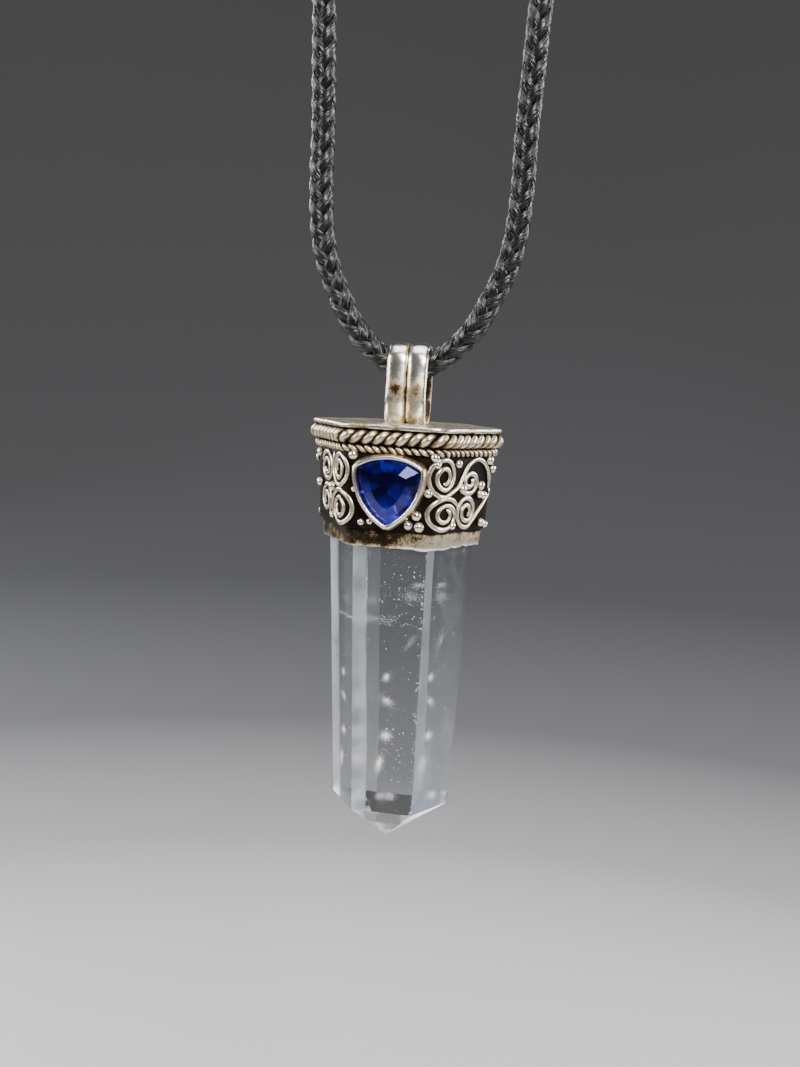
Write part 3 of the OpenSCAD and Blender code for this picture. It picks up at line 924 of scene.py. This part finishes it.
# Quartz point and blue stone keep their solids, with cut edges taken off the quartz
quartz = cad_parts["quartz_point"]
quartz.data.materials.clear()
quartz.data.materials.append(quartz_material())
edge_cut = quartz.modifiers.new("worn_edges", "BEVEL")
edge_cut.width = 0.00013
edge_cut.segments = 2
edge_cut.limit_method = "ANGLE"
edge_cut.angle_limit = math.radians(15)
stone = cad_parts["blue_stone"]
stone.data.materials.clear()
stone.data.materials.append(stone_material())

# Clasp
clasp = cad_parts["clasp"]
clasp.data.materials.clear()
# A piece without the attribute "lift" has 0 there, so a cover below zero leaves the clasp bright
clasp.data.materials.append(silver("clasp_silver", -0.75))


# Inclusions in the quartz are made of many minute white grains, which carry a painted glow
def grain_material(name, painted_glow, painted_glow_color=(0.92, 0.95, 1)):
    s = Shader(name, Roughness=0.7)
    tint = s.noise(900, 2)
    s.set("Base Color", s.ramp(tint, [(0.35, (0.86, 0.85, 0.8)), (0.65, (0.95, 0.96, 0.98))]))
    s.bsdf.inputs["Emission Color"].default_value = (*painted_glow_color, 1)
    s.bsdf.inputs["Emission Strength"].default_value = painted_glow
    return s.material


def inside_quartz(p, keep):
    """Which points lie in the quartz, at least keep below its faces."""
    x, y, z = np.asarray(p).T
    down = np.clip((-CAP_H - z) / QUARTZ_L, 0, 1)
    radius = (QUARTZ_W / 2 * (1 - down) + QUARTZ_LOW_W / 2 * down) * math.cos(math.radians(30)) - keep
    x = x - QUARTZ_LEAN * down
    away = np.max([np.abs(x * math.sin(a) - y * math.cos(a)) for a in np.radians([0, 60, 120])], axis=0)
    return (away < radius) & (z < -CAP_H - 0.2) & (z > -CAP_H - QUARTZ_L - 1.5)


def grains(name, points, sizes, material, rng):
    """One piece of small octahedra, of which only those inside the quartz are kept."""
    points = np.asarray(points, float)
    within = inside_quartz(points, 0.1)
    points, sizes = points[within], np.asarray(sizes, float)[within]
    corners = np.array([(1, 0, 0), (-1, 0, 0), (0, 1, 0), (0, -1, 0), (0, 0, 1), (0, 0, -1)], float)
    sides = [(0, 2, 4), (2, 1, 4), (1, 3, 4), (3, 0, 4), (2, 0, 5), (1, 2, 5), (3, 1, 5), (0, 3, 5)]
    batch = Batch()
    for point, size in zip(points, sizes):
        stretch = 0.6 + 0.8 * rng.random((1, 3))
        batch.verts.append(point + size * stretch * corners)
        batch.faces += [tuple(batch.count + k for k in side) for side in sides]
        batch.lift.append(np.ones(len(corners)))
        batch.count += len(corners)
    batch.piece(name, material, "pendant", CAP_PLACE, smooth=False)


def make_clouds(rng):
    """Cloudy spots near the back face and wisps below the cap: [x, y, z, width, height, lean, grains]"""
    spots = [
        (-0.76, 4.85, -24.6, 0.5, 0.55, 0.2, 900), (-0.62, 4.8, -27.0, 0.8, 0.8, -0.6, 1000),
        (-0.5, 4.7, -30.45, 0.75, 0.65, 0.0, 1700), (-1.0, 4.55, -33.4, 0.55, 1.25, 0.15, 2000),
        (1.5, 2.2, -16.2, 1.5, 0.9, -0.4, 800), (2.3, 0.6, -14.9, 0.9, 0.4, 0.5, 500),
        (-2.1, 0.4, -16.6, 1.2, 1.0, 0.2, 350), (1.6, 2.6, -20.6, 0.5, 1.6, 0.5, 350),
    ]
    cores = [
        (-0.76, 4.85, -24.5, 0.22, 0.28, 0.1, 260), (-0.5, 4.7, -30.4, 0.4, 0.34, 0.0, 700),
        (-0.55, 4.8, -26.9, 0.3, 0.25, 0.0, 160), (-1.0, 4.55, -33.2, 0.3, 0.7, 0.1, 800),
    ]
    # Painted glow: the milky grains glow white, the cloud cores with a warm painted glow
    milky = grain_material("milky_grains", 0.3)
    warm = grain_material("warm_grains", 0.9, (1, 0.76, 0.48))
    for name, groups, material in (("quartz_clouds", spots, milky), ("quartz_cloud_cores", cores, warm)):
        points, sizes = [], []
        for x, y, z, w, h, lean, count in groups:
            q = rng.normal(size=(count, 3)) * [w / 2.6, 0.22, h / 2.6]
            q *= 0.55 + 0.9 * rng.random((count, 1))
            q[:, 0] += lean * q[:, 2]
            points.append(q + [x, y, z])
            sizes.append(0.009 + 0.012 * rng.random(count))
        grains(name, np.concatenate(points), np.concatenate(sizes), material, rng)


def make_specks(rng):
    """Scattered specks, most of them below the cap and along the front right edge."""
    # In the whole crystal, behind its front face, below the cap and low in front
    deep = rng.random((240, 3)) * [13.6, 11.8, 26] - [6.8, 5.9, 37.5]
    shallow = rng.random((330, 3)) * [6.4, 0.5, 25] - [2.9, 5.75, 36.5]
    cluster = rng.normal(size=(130, 3)) * [1.6, 0.25, 1.5] + [2.0, -5.45, -14.2]
    low = rng.normal(size=(90, 3)) * [0.9, 0.3, 2.6] + [1.2, -4.9, -30.5]
    t = rng.random((150, 1))
    edge_top, edge_foot = np.array([3.35, -5.75, -11]), np.array([3.17, -4.8, -36.2])
    along_edge = edge_top * (1 - t) + edge_foot * t
    along_edge = along_edge + rng.normal(size=(150, 3)) * [0.1, 0.07, 0.1] + [-0.12, 0.16, 0]
    points = np.concatenate([deep, shallow, cluster, low, along_edge])
    sizes = 0.016 + 0.055 * rng.random(len(points)) ** 3
    grains("quartz_specks", points, sizes, grain_material("white_specks", 0.7), rng)


def make_veil(rng):
    """A healed crack, level and uneven, across the left half of the quartz."""
    count = 900
    x = rng.random(count) * 9.6 - 5.4
    y = rng.random(count) * 9.6 - 4.8
    z = -18.4 - 0.06 * x - 0.03 * y
    z = z + [0.28 * noise.noise((0.55 * a, 0.55 * b, 3.3)) for a, b in zip(x, y)]
    # It has gaps, more of them to the right
    dense = np.array([noise.noise((0.5 * a, 0.5 * b, 8.1)) + 0.12 * (1 - a) for a, b in zip(x, y)])
    points = np.stack([x, y, z + rng.normal(size=count) * 0.03], -1)[dense > 0.05]
    sizes = 0.015 + 0.022 * rng.random(len(points))
    grains("quartz_veil", points, sizes, grain_material("veil_grains", 0.3), rng)


seeded = np.random.default_rng(7)
make_clouds(seeded)
make_specks(seeded)
make_veil(seeded)


# Floor, world and lights
def make_floor():
    """A pale floor that curves up into a wall all round, far off, with painted shade that darkens it with
    height like light falling off.
    """
    drop, flat, bend, wall, painted_shade_rise, around = 150, 240, 700, 1500, 200, 64
    low = CAP_Z - CAP_H - QUARTZ_L - TIP_H - drop
    s = Shader("pale_floor", Roughness=0.75)
    _, _, height = s.axes((s.node("ShaderNodeTexCoord"), "Object"))
    # Painted shade: the colour darkens from pale grey on the floor to near black up the wall
    s.set("Base Color", s.ramp(s.between(height, low * MM, (low + painted_shade_rise) * MM, "LINEAR"), [
        (0, grey(0.52)),
        (0.05, (0.30, 0.30, 0.305)),
        (0.16, (0.12, 0.12, 0.124)),
        (0.4, (0.06, 0.06, 0.063)),
    ]))
    profile = [(flat * k / 4, low) for k in range(1, 5)]
    for a in np.linspace(0, math.pi / 2, 24)[1:]:
        profile.append((flat + bend * math.sin(a), low + bend * (1 - math.cos(a))))
    profile.append((flat + bend, low + wall))
    angles = np.linspace(0, 2 * math.pi, around, endpoint=False)
    batch = Batch()
    batch.rings([[[r * math.cos(a), r * math.sin(a), z] for a in angles] for r, z in profile], 0)
    batch.faces.append(list(range(around - 1, -1, -1)))
    batch.turn_over()
    floor = batch.piece("floor", s.material, "loop")


def add_light(name, place, size, power, color):
    """A rectangular light, in metres and watts, that looks at the middle of the pendant."""
    aim = (0, 0, -0.19)
    data = bpy.data.lights.new(name, "AREA")
    data.shape = "RECTANGLE"
    data.size, data.size_y = size
    data.energy = power
    data.color = color
    light = bpy.data.objects.new(name, data)
    light.location = place
    light.rotation_euler = (Vector(place) - Vector(aim)).to_track_quat("Z", "Y").to_euler()
    light.visible_camera = False
    bpy.context.scene.collection.objects.link(light)


def make_lights():
    world = bpy.data.worlds.new("studio")
    world.use_nodes = True
    background = world.node_tree.nodes["Background"]
    background.inputs["Color"].default_value = (0.90, 0.94, 1.0, 1)
    background.inputs["Strength"].default_value = 0.2
    bpy.context.scene.world = world
    add_light("top", (0, 0, 0.75), (0.7, 0.7), 7, (0.97, 0.98, 1))
    add_light("key", (0.18, -0.39, 0.06), (0.13, 0.13), 3.8, (1, 0.985, 0.96))
    # Small enough that the stone's upper crown facets show it as a whitish reflection
    add_light("glint", (0.048, -0.295, 0.15), (0.14, 0.07), 0.45, (1, 1, 1))
    add_light("fill", (-0.42, -0.24, 0.0), (0.14, 0.22), 2.0, (1, 0.92, 0.8))
    add_light("left_back", (-0.40, 0.34, -0.02), (0.16, 0.26), 1.6, (0.92, 0.96, 1))
    add_light("right_back", (0.40, 0.34, 0.0), (0.16, 0.26), 1.8, (0.92, 0.96, 1))
    add_light("right_side", (0.5, 0.08, -0.1), (0.16, 0.22), 1.6, (1, 0.98, 0.97))
    add_light("left_side", (-0.5, 0.0, -0.1), (0.16, 0.22), 1.4, (0.95, 0.97, 1))


make_floor()
make_lights()
